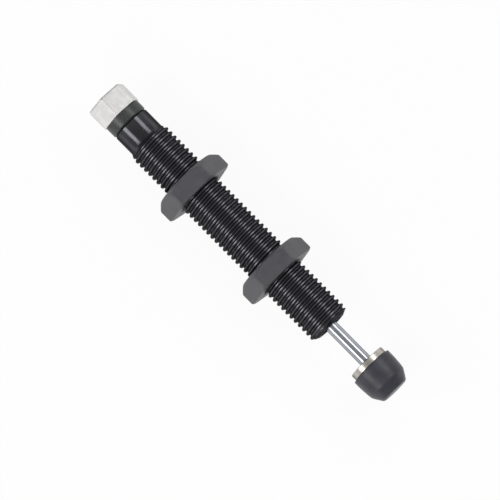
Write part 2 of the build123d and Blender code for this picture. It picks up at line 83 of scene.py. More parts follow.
Array = NDArray[np.float64]
Corner = tuple[float | Array, ...]
Stops = Sequence[tuple[float, float]]
Socket = bpy.types.NodeSocket
Tree = bpy.types.NodeTree


# Frame


@dataclass(frozen=True)
class Extent:
    """Where a CAD node lies, in millimetres.

    Attributes:
        rear: Lowest x.
        front: Highest x.
        radius: Half of the largest extent at right angles to the axis.
        bottom: Lowest z.
    """

    rear: float
    front: float
    radius: float
    bottom: float

    @classmethod
    def of(cls, node: str) -> "Extent":
        """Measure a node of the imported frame.

        Args:
            node: The CAD node's name.

        Returns:
            The node's extent at rest.
        """
        low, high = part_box(node)
        across = max(high.y - low.y, high.z - low.z) / MM
        return cls(low.x / MM, high.x / MM, across / 2, low.z / MM)

    @property
    def length(self) -> float:
        """Length along the axis."""
        return self.front - self.rear


# Surfaces


def rounded(corners: Sequence[Corner], count: int, steps: int = ROUNDING_STEPS) -> Array:
    """Round the corners of a closed outline in the (x, radius) half-plane, in every column.

    Each corner P becomes the curve (1-s)^2 A + 2 s (1-s) P + s^2 B, where A and B lie on the two
    edges at P, the rounding radius away from it, or 0.45 of the edge away where that is shorter.

    Args:
        corners: x, radius and, unless it stays sharp, rounding radius of each corner in order.
            x and radius are numbers, or arrays of one number per column.
        count: How many columns.
        steps: Segments of each rounding.

    Returns:
        Points, shape (corners * (steps + 1), count, 2).
    """
    pairs = [[np.broadcast_to(value, count) for value in corner[:2]] for corner in corners]
    outline = np.array(pairs, float).transpose(0, 2, 1)
    before = np.roll(outline, 1, axis=0) - outline
    after = np.roll(outline, -1, axis=0) - outline
    reach = np.array([[corner[2] if len(corner) > 2 else 0.0] for corner in corners], float)

    def towards(edge: Array) -> Array:
        """The point where the rounding leaves this edge."""
        length = np.linalg.norm(edge, axis=2)
        share = np.minimum(reach, 0.45 * length) / np.maximum(length, 1e-9)
        return outline + edge * share[..., None]

    start, end = towards(before), towards(after)
    s = np.linspace(0.0, 1.0, steps + 1)[None, :, None, None]
    curve = (1 - s) ** 2 * start[:, None] + 2 * s * (1 - s) * outline[:, None] + s**2 * end[:, None]
    return curve.reshape(-1, count, 2)


def angles(count: int = COLUMNS) -> Array:
    """Angles about the axis from 0 to a full turn, with both ends."""
    return np.linspace(0.0, TURN, count + 1)


def turned(name: str, rows: Array, theta: Array, sharp: float) -> bpy.types.Object:
    """Carry a closed outline round the axis and make it a mesh.

    The point of row i and column j is (x_ij, r_ij cos(theta_j), r_ij sin(theta_j)). The last
    column is the first one a full turn on, so on a helix it meets a later row. Rows and columns
    are joined by merging the points that coincide.

    Args:
        name: The object's name.
        rows: x and radius of each row and column, shape (rows, columns, 2), in millimetres.
        theta: The angle of each column, in radians.
        sharp: Edges that turn by more than this many degrees stay sharp.

    Returns:
        The new object.
    """
    x, r = rows[..., 0], rows[..., 1]
    points = np.stack([x, r * np.cos(theta), r * np.sin(theta)], axis=2).reshape(-1, 3) * MM
    count, wide = x.shape
    i, j = np.meshgrid(np.arange(count), np.arange(wide - 1), indexing="ij")
    below = (i + 1) % count
    here, there = i * wide + j, below * wide + j
    quads = np.stack([here, here + 1, there + 1, there], axis=2)
    return solid(name, points, quads.reshape(-1, 4), sharp)


def lathe(
    name: str,
    corners: Sequence[Corner],
    theta: Array,
    sharp: float = SHARP_TURNED,
    steps: int = ROUNDING_STEPS,
) -> bpy.types.Object:
    """Make a piece of one closed outline, whose corners rounded() takes and rounds."""
    return turned(name, rounded(corners, len(theta), steps), theta, sharp)


def linked(name: str, data: bpy.types.ID) -> bpy.types.Object:
    """Make an object of its data and link it to the scene."""
    made = bpy.data.objects.new(name, data)
    bpy.context.scene.collection.objects.link(made)
    return made


def solid(name: str, points: Array, faces: NDArray[np.int64], sharp: float) -> bpy.types.Object:
    """Make one closed mesh object, merged, with its normals outwards and smooth shading.

    Args:
        name: The object's name.
        points: Vertex positions in metres.
        faces: Four vertex numbers for each face.
        sharp: Edges that turn by more than this many degrees stay sharp.

    Returns:
        The new object, linked to the scene.
    """
    mesh = bpy.data.meshes.new(name)
    mesh.from_pydata(points.tolist(), [], faces.tolist())
    work = bmesh.new()
    work.from_mesh(mesh)
    bmesh.ops.remove_doubles(work, verts=work.verts, dist=MERGE_DISTANCE)
    bmesh.ops.dissolve_degenerate(work, edges=work.edges, dist=MERGE_DISTANCE)
    bmesh.ops.recalc_face_normals(work, faces=work.faces)
    work.to_mesh(mesh)
    work.free()
    made = linked(name, mesh)
    shade(made, sharp)
    return made


def shade(made: bpy.types.Object, sharp: float) -> None:
    """Shade a piece smooth, with sharp edges where it turns by more than sharp degrees."""
    made.data.shade_smooth()
    made.data.set_sharp_from_angle(angle=math.radians(sharp))


def hexagon_angles(turn: float) -> Array:
    """Angles for a hexagonal piece, close together at its corners.

    Args:
        turn: The angle of one corner from +Y towards +Z, in degrees.

    Returns:
        Column angles from turn to turn plus a full turn, in radians.
    """
    side = np.array([0.0, 0.5, 1.0, 1.5, 2.1, 3.0, 5.0, 8.0, 12.0, 17.0, 23.5])
    sector = np.concatenate([side, [30.0], 60.0 - side[:0:-1]])
    degrees = (sector[None, :] + 60.0 * np.arange(6)[:, None]).ravel()
    return np.radians(np.append(degrees, 360.0) + turn)


def hexagon(theta: Array, turn: float, across_flats: float, corner: float) -> Array:
    """Distance from the axis to a hexagon with rounded corners.

    With a the angle from the nearest corner, a flat lies at (across_flats / 2) / cos(30 - a), and
    the rounding of radius c about a centre at distance d lies at d cos a + sqrt(c^2 - d^2 sin^2 a).

    Args:
        theta: Column angles in radians.
        turn: The angle of one corner, in degrees.
        across_flats: Width across flats.
        corner: Rounding radius of the six corners.

    Returns:
        The distance at each angle.
    """
    sixth = TURN / 6
    a = np.abs((theta - math.radians(turn) + sixth / 2) % sixth - sixth / 2)
    flat = across_flats / 2 / np.cos(sixth / 2 - a)
    d = (across_flats / 2 - corner) / math.cos(sixth / 2)
    edge = math.atan2(corner * math.sin(sixth / 2), d + corner * math.cos(sixth / 2))
    arc = d * np.cos(a) + np.sqrt(np.maximum(corner**2 - (d * np.sin(a)) ** 2, 0.0))
    return np.where(a < edge, arc, flat)


# Materials


def linear(hex_colour: str) -> tuple[float, float, float, float]:
    """Convert an sRGB hex colour to linear values.

    Args:
        hex_colour: Six hex digits after a number sign.

    Returns:
        Linear red, green, blue and an alpha of one.
    """
    srgb = np.array([int(hex_colour[k : k + 2], 16) / 255 for k in (1, 3, 5)])
    low, high = srgb / 12.92, ((srgb + 0.055) / 1.055) ** 2.4
    red, green, blue = np.where(srgb <= 0.04045, low, high)
    return float(red), float(green), float(blue), 1.0


def emptied(owner: bpy.types.Material | bpy.types.World) -> Tree:
    """Switch on the nodes of a material or world, and clear them."""
    owner.use_nodes = True
    owner.node_tree.nodes.clear()
    return owner.node_tree


def add(
    tree: Tree, kind: str, inputs: dict[str | int, object] | None = None, **settings: object
) -> bpy.types.Node:
    """Add a shader node with its settings, values and links.

    Args:
        tree: The node tree.
        kind: The node's type.
        inputs: Input name or number to a value, or to an output socket that it is linked from.
        settings: Attributes to set on the node.

    Returns:
        The new node.
    """
    made = tree.nodes.new(kind)
    for key, value in settings.items():
        setattr(made, key, value)
    for key, value in (inputs or {}).items():
        if isinstance(value, bpy.types.NodeSocket):
            tree.links.new(value, made.inputs[key])
        else:
            made.inputs[key].default_value = value
    return made


def in_millimetres(tree: Tree, stretch: Sequence[float] = (1, 1, 1)) -> Socket:
    """Object coordinates in millimetres, so that a pattern's scale is waves per millimetre.

    Args:
        tree: The node tree.
        stretch: Factor along each axis. A small one draws the pattern out that way.

    Returns:
        The vector output.
    """
    place = add(tree, "ShaderNodeTexCoord").outputs["Object"]
    scale = [factor / MM for factor in stretch]
    return add(tree, "ShaderNodeMapping", {"Vector": place, "Scale": scale}).outputs["Vector"]


def noise(tree: Tree, vector: Socket, scale: float, detail: float = 3.0) -> Socket:
    """A noise pattern from 0 to 1, with scale features per millimetre and detail octaves."""
    inputs = {"Vector": vector, "Scale": scale, "Detail": detail, "Roughness": 0.55}
    return add(tree, "ShaderNodeTexNoise", inputs).outputs["Fac"]


def calculated(tree: Tree, operation: str, first: Socket, second: Socket | float = 0.0) -> Socket:
    """The result of a math node's operation on one or two values."""
    return add(tree, "ShaderNodeMath", {0: first, 1: second}, operation=operation).outputs[0]


def spread(
    tree: Tree, value: Socket, low: float, high: float, to_low: float = 0.0, to_high: float = 1.0
) -> Socket:
    """Map a value so that low becomes to_low and high becomes to_high, and hold it there."""
    inputs = {"Value": value, 1: low, 2: high, 3: to_low, 4: to_high}
    return add(tree, "ShaderNodeMapRange", inputs).outputs["Result"]


def blend(tree: Tree, share: Socket, first: str | Socket, second: str | Socket) -> Socket:
    """Mix two colours, each a hex colour or an output, with share of the second one."""
    a, b = (linear(c) if isinstance(c, str) else c for c in (first, second))
    return add(tree, "ShaderNodeMix", {0: share, 6: a, 7: b}, data_type="RGBA").outputs[2]


def relief(
    tree: Tree, height: Socket, depth: float, strength: float, under: Socket | None = None
) -> Socket:
    """A bump normal.

    Args:
        tree: The node tree.
        height: The pattern, from 0 to 1.
        depth: Its height in millimetres.
        strength: Strength from 0 to 1.
        under: A coarser bump normal to add it to.

    Returns:
        The normal output.
    """
    inputs = {"Height": height, "Distance": depth * MM, "Strength": strength}
    if under is not None:
        inputs["Normal"] = under
    return add(tree, "ShaderNodeBump", inputs).outputs["Normal"]


def off_axis(tree: Tree) -> Socket:
    """Distance from the absorber's axis in millimetres."""
    flat = in_millimetres(tree, (0, 1, 1))
    return add(tree, "ShaderNodeVectorMath", {0: flat}, operation="LENGTH").outputs["Value"]


@dataclass(frozen=True)
class Finish:
    """A surface finish. Each kind draws its own pattern.

    Attributes:
        name: The material's name, after the real material and process.
        colour: Main colour, sRGB hex.
        second: The colour that the pattern varies it towards.
        roughness: Middle roughness.
        specular: Reflection level of what isn't metal.
        metal: Share of metal.
        rim: Grey level that metal reflects near its rims.
    """

    name: str
    colour: str
    second: str
    roughness: float
    specular: float = 0.5
    metal: float = 0.0
    rim: float = 1.0

    def material(self) -> bpy.types.Material:
        """Make the material, or find it when it is there already.

        Returns:
            The material.
        """
        there = bpy.data.materials.get(self.name)
        if there:
            return there
        made = bpy.data.materials.new(self.name)
        tree = emptied(made)
        uniform = {
            "Metallic": self.metal,
            "Specular IOR Level": self.specular,
            "Specular Tint": (self.rim, self.rim, self.rim, 1.0),
        }
        shader = add(tree, "ShaderNodeBsdfPrincipled", uniform)
        for key, value in self.pattern(tree).items():
            tree.links.new(value, shader.inputs[key])
        add(tree, "ShaderNodeOutputMaterial", {"Surface": shader.outputs["BSDF"]})
        return made

    def pattern(self, tree: Tree) -> dict[str, Socket]:
        """Draw the pattern: the principled shader's input names and what drives them."""
        raise NotImplementedError


@dataclass(frozen=True)
class BlackenedSteel(Finish):
    """Turned steel with a black chemical finish, lighter outside by wear and painted highlight.

    Attributes:
        wear_and_glint_from: Distance from the axis where the wear and painted highlight start.
        wear_and_glint_to: Distance from the axis where they are full.
        wear_and_glint_colour: The colour of that wear and painted highlight, sRGB hex.
        smooth_behind: Behind this x the surface is turned and has the roughness smooth.
        smooth: That roughness.
    """

    wear_and_glint_from: float = 3.9
    wear_and_glint_to: float = 4.0
    wear_and_glint_colour: str = "#626267"
    smooth_behind: float = -1000.0
    smooth: float = 0.15

    def pattern(self, tree: Tree) -> dict[str, Socket]:
        """Mottled black, turning marks 0.1 mm apart along the axis, and lighter crests and rims."""
        place = in_millimetres(tree)
        cloud = spread(tree, noise(tree, place, 0.6), 0.35, 0.7)
        # Lighter far from the axis: crest wear on the body; on the index ring, wear plus painted rim
        # highlight.
        wear_and_glint_mask = spread(tree, off_axis(tree), self.wear_and_glint_from, self.wear_and_glint_to)
        patchy = spread(tree, noise(tree, place, 2.5), 0.35, 0.65, 0.25)
        wear_and_glint_share = calculated(tree, "MULTIPLY", wear_and_glint_mask, patchy)
        black = blend(tree, cloud, self.colour, self.second)
        pits = relief(tree, noise(tree, place, 7.0), 0.006, 0.5)
        turning = noise(tree, in_millimetres(tree, (1, 0.02, 0.02)), 9.0, 2.0)
        along = add(tree, "ShaderNodeSeparateXYZ", {"Vector": place}).outputs["X"]
        start, end = self.smooth_behind - 0.2, self.smooth_behind + 0.2
        middle = spread(tree, along, start, end, self.smooth, self.roughness)
        uneven = spread(tree, noise(tree, place, 4.0), 0.3, 0.7, -0.04, 0.08)
        return {
            "Base Color": blend(tree, wear_and_glint_share, black, self.wear_and_glint_colour),
            "Roughness": calculated(tree, "ADD", middle, uneven),
            "Normal": relief(tree, turning, 0.004, 0.5, pits),
        }


@dataclass(frozen=True)
class PhosphatedSteel(Finish):
    """Forged nut stock with a matte grey phosphate coat of fine crystals."""

    def pattern(self, tree: Tree) -> dict[str, Socket]:
        """Crystals 0.1 mm across, in slow clouds of lighter and darker grey."""
        place = in_millimetres(tree)
        grain = noise(tree, place, 9.0, 4.0)
        cloud = noise(tree, place, 0.5)
        grey = spread(tree, calculated(tree, "ADD", grain, cloud), 0.7, 1.3)
        low, high = self.roughness - 0.06, self.roughness + 0.08
        return {
            "Base Color": blend(tree, grey, self.colour, self.second),
            "Roughness": spread(tree, grain, 0.3, 0.7, low, high),
            "Normal": relief(tree, grain, 0.012, 0.45),
        }


@dataclass(frozen=True)
class PlatedSteel(Finish):
    """Bright plating over steel with fine lines left by drawing, turning or grinding.

    Attributes:
        lines: Stretch of the line pattern along each axis. The lines run where it is small.
        line_scale: Lines per millimetre.
        line_depth: Depth of the lines in millimetres.
    """

    metal: float = 1.0
    lines: tuple[float, float, float] = (0.03, 1.0, 1.0)
    line_scale: float = 8.0
    line_depth: float = 0.004

    def pattern(self, tree: Tree) -> dict[str, Socket]:
        """Fine lines one way, over a faint uneven brightness."""
        fine = noise(tree, in_millimetres(tree, self.lines), self.line_scale, 2.0)
        cloud = spread(tree, noise(tree, in_millimetres(tree), 0.8), 0.35, 0.7)
        low, high = self.roughness - 0.04, self.roughness + 0.06
        return {
            "Base Color": blend(tree, cloud, self.colour, self.second),
            "Roughness": spread(tree, fine, 0.3, 0.7, low, high),
            "Normal": relief(tree, fine, self.line_depth, 0.4),
        }


@dataclass(frozen=True)
class TurnedMetal(Finish):
    """Bare turned metal, with rings of tool marks round the axis on sides and faces."""

    metal: float = 1.0

    def pattern(self, tree: Tree) -> dict[str, Socket]:
        """Tool marks about 0.1 mm apart, read from the place along the axis and off it."""
        along = noise(tree, in_millimetres(tree, (1, 0, 0)), 10.0, 1.0)
        off = add(tree, "ShaderNodeCombineXYZ", {"X": off_axis(tree)}).outputs["Vector"]
        marks = calculated(tree, "ADD", along, noise(tree, off, 10.0, 1.0))
        tone = spread(tree, marks, 0.7, 1.3)
        low, high = self.roughness - 0.06, self.roughness + 0.08
        return {
            "Base Color": blend(tree, tone, self.colour, self.second),
            "Roughness": spread(tree, tone, 0.0, 1.0, low, high),
            "Normal": relief(tree, tone, 0.003, 0.4),
        }


@dataclass(frozen=True)
class MouldedRubber(Finish):
    """Moulded elastomer with the fine grain of its tool and a slightly bloomed skin.

    Attributes:
        grain: Grains per millimetre.
        grain_depth: Depth of the grain in millimetres.
    """

    grain: float = 6.0
    grain_depth: float = 0.01

    def pattern(self, tree: Tree) -> dict[str, Socket]:
        """A soft grain with slow clouds of bloom."""
        place = in_millimetres(tree)
        grain = noise(tree, place, self.grain, 4.0)
        bloom = spread(tree, noise(tree, place, 0.45), 0.35, 0.7)
        low, high = self.roughness - 0.07, self.roughness + 0.07
        return {
            "Base Color": blend(tree, bloom, self.colour, self.second),
            "Roughness": spread(tree, noise(tree, place, 1.6), 0.3, 0.7, low, high),
            "Normal": relief(tree, grain, self.grain_depth, 0.4),
        }


@dataclass(frozen=True)
class CellFoam(Finish):
    """Closed-cell foam rubber."""

    def pattern(self, tree: Tree) -> dict[str, Socket]:
        """Cells 0.25 mm across with raised walls."""
        inputs = {"Vector": in_millimetres(tree), "Scale": 4.0}
        cells = add(tree, "ShaderNodeTexVoronoi", inputs, feature="DISTANCE_TO_EDGE")
        wall = spread(tree, cells.outputs["Distance"], 0.0, 0.18, 1.0, 0.0)
        return {
            "Base Color": blend(tree, wall, self.colour, self.second),
            "Roughness": spread(tree, wall, 0.0, 1.0, self.roughness, self.roughness - 0.1),
            "Normal": relief(tree, wall, 0.05, 0.6),
        }


# Black oxide on the turned body. The rubbed part is the thread's crests, the smooth one the tail.
BODY_FINISH = BlackenedSteel(
    "black_oxide_body",
    "#48484c",
    "#525257",
    roughness=0.24,
    specular=0.4,
    metal=0.85,
    rim=0.08,
    wear_and_glint_from=3.8,
    wear_and_glint_to=3.95,
    wear_and_glint_colour="#545459",
    smooth_behind=-44.3,
    smooth=0.12,
)

# The same bath on the index ring; its lighter rim is part handling wear, part painted highlight.
RING_FINISH = BlackenedSteel(
    "black_oxide_ring",
    "#3a3d3c",
    "#454846",
    roughness=0.32,
    metal=0.35,
    rim=0.4,
    wear_and_glint_from=3.3,
    wear_and_glint_to=3.5,
    wear_and_glint_colour="#4c4f4d",
)

# Zinc phosphate on the lock nuts.
NUT_FINISH = PhosphatedSteel("phosphated_nut", "#444448", "#525256", roughness=0.45)

# Bright nickel on the knob, made from drawn hexagon bar, so its lines run along the axis.
KNOB_FINISH = PlatedSteel(
    "nickel_plated_bar", "#d5d4d3", "#e1e0df", roughness=0.64, line_scale=5.0, line_depth=0.012
)

# Bright nickel on the turned cap ring.
CAP_FINISH = PlatedSteel(
    "nickel_plated_turning",
    "#bab6ae",
    "#c8c4bc",
    roughness=0.28,
    rim=0.15,
    lines=(1.0, 0.05, 0.05),
    line_scale=9.0,
)

# Hard chrome on the rod, ground round and polished.
ROD_FINISH = PlatedSteel(
    "hard_chrome",
    "#a9adb4",
    "#b5b9bf",
    roughness=0.2,
    rim=0.15,
    lines=(1.0, 0.04, 0.04),
    line_scale=14.0,
    line_depth=0.002,
)

# Moulded polyurethane of the bumper.
BUMPER_FINISH = MouldedRubber(
    "polyurethane_bumper", "#393940", "#44444c", roughness=0.38, specular=0.28, grain=5.0
)

# Nitrile of the seals and O-rings.
SEAL_FINISH = MouldedRubber(
    "nitrile_seal", "#131314", "#1d1d1f", roughness=0.45, grain=9.0, grain_depth=0.006
)

# Bare steel of the inner turned pieces, and the drawn wire of the spring and retaining ring.
STEEL_FINISH = TurnedMetal("turned_steel", "#9a9da1", "#b4b7bb", roughness=0.3)
WIRE_FINISH = PlatedSteel(
    "drawn_spring_wire",
    "#85888d",
    "#9b9ea3",
    roughness=0.32,
    lines=(0.3, 0.3, 0.3),
    line_scale=12.0,
    line_depth=0.003,
)

# Bearing bronze of the rod bearing and the metering sleeve.
BRONZE_FINISH = TurnedMetal("bearing_bronze", "#b98a4c", "#cfa368", roughness=0.28)

# Filled fluoropolymer of the piston ring.
RING_PLASTIC_FINISH = MouldedRubber(
    "fluoropolymer_ring",
    "#d8d4c8",
    "#e4e1d8",
    roughness=0.4,
    specular=0.4,
    grain=12.0,
    grain_depth=0.003,
)

# Foam of the accumulator.
FOAM_FINISH = CellFoam(
    "accumulator_foam_rubber", "#1b1b1d", "#2a2a2d", roughness=0.85, specular=0.25
)


# The absorber


def carry(made: bpy.types.Object, body: str, node: str, finish: Finish) -> None:
    """Fit a new piece to the frame in place of its CAD node.

    Args:
        made: The new piece.
        body: The CAD body that it moves with.
        node: The CAD node that it stands for.
        finish: Its finish.
    """
    made.data.materials.clear()
    made.data.materials.append(finish.material())
    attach(made, body)
    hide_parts(node)
    log.info("%s: %d faces, rides on %s", made.name, len(made.data.polygons), body)


@dataclass
class ThreadedBody:
    """The body tube with its outside thread, and the gland ring and wiper in its front end.

    Sizes that the frame gives are read from the CAD nodes.
    """

    pitch: float = 1.0
    thread_depth: float = 0.46
    front_face_r: float = 2.85
    front_chamfer: float = 0.55
    rim_bore_r: float = 2.3
    rim_thickness: float = 0.5
    front_bore_r: float = 2.9
    rear_bore_r: float = 2.7
    tail_r: float = 3.48
    tail_length: float = 3.85
    runout: float = 1.0
    ring_groove_r: float = 2.95
    ring_groove_rear: float = 1.6
    ring_groove_width: float = 0.4
    gland_bore_r: float = 1.55
    wiper_room: float = 0.02
    lip_length: float = 1.1
    lip_thickness: float = 0.11

    def thread_rows(self, crest_r: float, front: float, rear: float, theta: Array) -> Array:
        """The thread's surface from the front chamfer to the end of the run-out.

        Row k lies at x = x_k + pitch * theta / 2 pi, held between rear and front, so its place in
        the thread form stays the same. The radius is the thread form's, no more than the front
        chamfer's and the run-out's cones, and no less than the root, which rises to the tail over
        the last turn.

        Args:
            crest_r: Radius of the crests.
            front: x of the body's front end.
            rear: x where the run-out meets the tail.
            theta: Column angles.

        Returns:
            Rows from front to rear, shape (rows, columns, 2).
        """
        root_r = crest_r - self.thread_depth
        half_x = np.array([0.0, 0.1, 0.14, 0.255, 0.37, 0.41, 0.5])
        half_r = np.array([0.0, 0.0, 0.03, 0.225, 0.42, 0.45, self.thread_depth])
        turn_x = np.concatenate([half_x[:-1], 1.0 - half_x[:0:-1]]) * self.pitch
        turn_r = crest_r - np.concatenate([half_r[:-1], half_r[:0:-1]])
        turns = math.ceil((front - rear) / self.pitch) + 2
        row_x = (rear - self.pitch + turn_x[None, :] + self.pitch * np.arange(turns)[:, None]).ravel()
        row_r = np.tile(turn_r, turns)
        x = np.clip(row_x[:, None] + self.pitch * theta[None, :] / TURN, rear, front)
        chamfer = crest_r - self.front_face_r
        front_cone = self.front_face_r + (front - x) / self.front_chamfer * chamfer
        rise = (x - rear) / self.runout
        rear_cone = self.tail_r + rise * (crest_r - self.tail_r)
        floor = root_r + (self.tail_r - root_r) * np.clip(2.0 - rise, 0.0, 1.0)
        radius = np.minimum(np.maximum(row_r[:, None], floor), np.minimum(front_cone, rear_cone))
        return np.stack([x, radius], axis=2)[::-1]

    def build_tube(self) -> bpy.types.Object:
        """Build the body tube as one closed surface, outside and inside.

        Returns:
            The new piece.
        """
        tube = Extent.of("body_tube")
        shoulder = Extent.of("tube_head").rear
        theta = angles()
        tail_front = tube.rear + self.tail_length
        groove = tube.rear + self.ring_groove_rear
        groove_front = groove + self.ring_groove_width
        rim = tube.front - self.rim_thickness
        corners = [
            (tail_front, self.tail_r),
            (tube.rear, self.tail_r, 0.15),
            (tube.rear, self.rear_bore_r, 0.06),
            (groove, self.rear_bore_r),
            (groove, self.ring_groove_r),
            (groove_front, self.ring_groove_r),
            (groove_front, self.rear_bore_r),
            (shoulder, self.rear_bore_r),
            (shoulder, self.front_bore_r),
            (rim, self.front_bore_r),
            (rim, self.rim_bore_r),
            (tube.front, self.rim_bore_r, 0.08),
            (tube.front, self.front_face_r),
        ]
        thread = self.thread_rows(tube.radius, tube.front, tail_front, theta)
        rows = np.concatenate([thread, rounded(corners, len(theta))])
        return turned("threaded_body", rows, theta, SHARP_THREAD)

    def build_gland_ring(self) -> bpy.types.Object:
        """Build the steel ring behind the body's rolled rim.

        Returns:
            The new piece.
        """
        ring = Extent.of("gland_ring")
        corners = [
            (ring.front, self.gland_bore_r, 0.12),
            (ring.front, ring.radius, 0.05),
            (ring.rear, ring.radius),
            (ring.rear, self.gland_bore_r),
        ]
        return lathe("gland_ring_turned", corners, angles(count=80))

    def build_wiper(self) -> bpy.types.Object:
        """Build the wiper, whose lip leans forward to the rod.

        Returns:
            The new piece.
        """
        wiper = Extent.of("wiper")
        rod_r = Extent.of("piston_rod").radius + self.wiper_room
        shoulder = wiper.front - self.lip_length
        lip = self.lip_thickness
        corners = [
            (wiper.rear, rod_r + 2 * lip),
            (wiper.rear, wiper.radius),
            (shoulder, wiper.radius, 0.05),
            (shoulder, rod_r + 3 * lip, 0.1),
            (wiper.front, rod_r + lip, 0.04),
            (wiper.front, rod_r, 0.01),
            (shoulder, rod_r + lip),
        ]
        return lathe("wiper_moulded", corners, angles(count=64))

    def dress(self) -> None:
        """Build the pieces and fit them to the frame."""
        carry(self.build_tube(), "barrel", "body_tube", BODY_FINISH)
        carry(self.build_gland_ring(), "barrel", "gland_ring", BODY_FINISH)
        carry(self.build_wiper(), "barrel", "wiper", SEAL_FINISH)


class NutPlace(Enum):
    """The two lock nuts, by the body that each one is."""

    FRONT = "front_nut"
    REAR = "rear_nut"

    @property
    def node(self) -> str:
        """The nut's CAD node."""
        return self.value.replace("_nut", "_lock_nut")


@dataclass
class LockNut:
    """A hexagonal lock nut, with a wide chamfer on its rear face and a light one in front."""

    place: NutPlace
    bore_r: float = 4.03
    countersink: float = 0.4
    rear_bevel: float = 0.15
    front_corner_land: float = 0.45
    front_bevel: float = 0.06
    rear_angle: float = 45.0
    front_angle: float = 30.0
    corner: float = 0.35
    edge: float = 0.09

    def build(self) -> bpy.types.Object:
        """Build the nut.

        Each column's outline runs from the bore round the hexagon, which its chamfers cut as
        cones, so the cut's place is x = (hexagon's radius - face's radius) * tan(angle).

        Returns:
            The new piece.
        """
        nut = Extent.of(self.place.node)
        across_flats = -2 * nut.bottom
        theta = hexagon_angles(0.0)
        side = hexagon(theta, 0.0, across_flats, self.corner)
        rear_face = across_flats / 2 - self.rear_bevel
        front_face = np.minimum(across_flats / 2 + self.front_corner_land, side - self.front_bevel)
        rear_cut = (side - rear_face) * math.tan(math.radians(self.rear_angle))
        front_cut = (side - front_face) * math.tan(math.radians(self.front_angle))
        mouth_r = self.bore_r + self.countersink
        corners = [
            (nut.rear + self.countersink, self.bore_r),
            (nut.rear, mouth_r, self.edge / 2),
            (nut.rear, rear_face, self.edge),
            (nut.rear + rear_cut, side, self.edge * 2),
            (nut.front - front_cut, side, self.edge),
            (nut.front, front_face, self.edge / 2),
            (nut.front, mouth_r, self.edge / 2),
            (nut.front - self.countersink, self.bore_r),
        ]
        return lathe(f"{self.place.node}_forged", corners, theta, SHARP_HEXAGON)

    def dress(self) -> None:
        """Build the nut and fit it to the frame."""
        carry(self.build(), self.place.value, self.place.node, NUT_FINISH)


@dataclass
class Adjuster:
    """The hexagonal knob and its index ring at the rear end."""

    across_flats: float = 7.0
    turn: float = 38.5
    bevel: float = 0.15
    bevel_angle: float = 60.0
    face_r: float = 3.78
    corner: float = 0.18
    edge: float = 0.06
    neck_r: float = 1.8
    spindle_r: float = 1.1
    spindle_depth: float = 2.0
    slot_width: float = 0.8
    slot_length: float = 5.4
    slot_depth: float = 0.7
    slot_edge: float = 0.05
    ring_chamfer: float = 0.25

    def build_knob(self) -> bpy.types.Object:
        """Build the knob as one turned hexagon, then cut the screwdriver slot.

        Returns:
            The new piece.
        """
        knob = Extent.of("adjuster_knob")
        ring = Extent.of("index_ring")
        theta = hexagon_angles(self.turn)
        side = hexagon(theta, self.turn, self.across_flats, self.corner)
        face_r = np.minimum(side * (1 - 2 * self.bevel / self.across_flats), self.face_r)
        cut = (side - face_r) * math.tan(math.radians(self.bevel_angle))
        bottom = ring.rear - self.spindle_depth
        corners = [
            (knob.rear, 0.0),
            (knob.rear, face_r, self.edge),
            (knob.rear + cut, side, self.edge * 1.5),
            (ring.rear, side, self.edge),
            (ring.rear, self.neck_r),
            (knob.front, self.neck_r, self.edge),
            (knob.front, self.spindle_r),
            (bottom, self.spindle_r),
            (bottom, 0.0),
        ]
        made = lathe("knob_machined", corners, theta, SHARP_HEXAGON)
        self.cut_slot(made, knob.rear)
        return made

    def cut_slot(self, made: bpy.types.Object, rear: float) -> None:
        """Cut the slot into the rear face, short of the flats, with a small edge break.

        The cutter is a prism that widens by the edge break at the face, and further outside it.

        Args:
            made: The knob.
            rear: x of the rear face.
        """
        half, lip, outside = self.slot_width / 2, self.slot_edge, 1.0
        wall = [
            (rear - outside, half + lip + outside),
            (rear + lip, half),
            (rear + self.slot_depth, half),
        ]
        section = wall + [(x, -w) for x, w in wall[::-1]]
        ends = (-self.slot_length / 2, self.slot_length / 2)
        turn = Matrix.Rotation(math.radians(self.turn), 4, "X")
        points = [turn @ Vector((x, w, end)) * MM for end in ends for x, w in section]
        count = len(section)
        ring = np.arange(count)
        beside = (ring + 1) % count
        sides = np.stack([ring, beside, beside + count, ring + count], axis=1)
        caps = np.array([[0, 1, 4, 5], [1, 2, 3, 4]])
        faces = np.concatenate([sides, caps, caps + count])
        cutter = solid("slot_cutter", np.array(points), faces, SHARP_HEXAGON)
        cut = made.modifiers.new("slot", "BOOLEAN")
        cut.object, cut.operation, cut.solver = cutter, "DIFFERENCE", "EXACT"
        bpy.context.view_layer.update()
        evaluated = made.evaluated_get(bpy.context.evaluated_depsgraph_get())
        result = bpy.data.meshes.new_from_object(evaluated)
        made.modifiers.clear()
        made.data = result
        bpy.data.objects.remove(cutter)
        shade(made, SHARP_HEXAGON)

    def build_ring(self) -> bpy.types.Object:
        """Build the index ring.

        Returns:
            The new piece.
        """
        ring = Extent.of("index_ring")
        corners = [
            (ring.front, self.neck_r),
            (ring.front, ring.radius - self.ring_chamfer, 0.06),
            (ring.front - self.ring_chamfer, ring.radius, 0.08),
            (ring.rear, ring.radius, 0.1),
            (ring.rear, self.neck_r),
        ]
        return lathe("index_ring_turned", corners, angles())

    def dress(self) -> None:
        """Build both pieces and fit them to the frame."""
        carry(self.build_knob(), "adjuster", "adjuster_knob", KNOB_FINISH)
        carry(self.build_ring(), "adjuster", "index_ring", RING_FINISH)


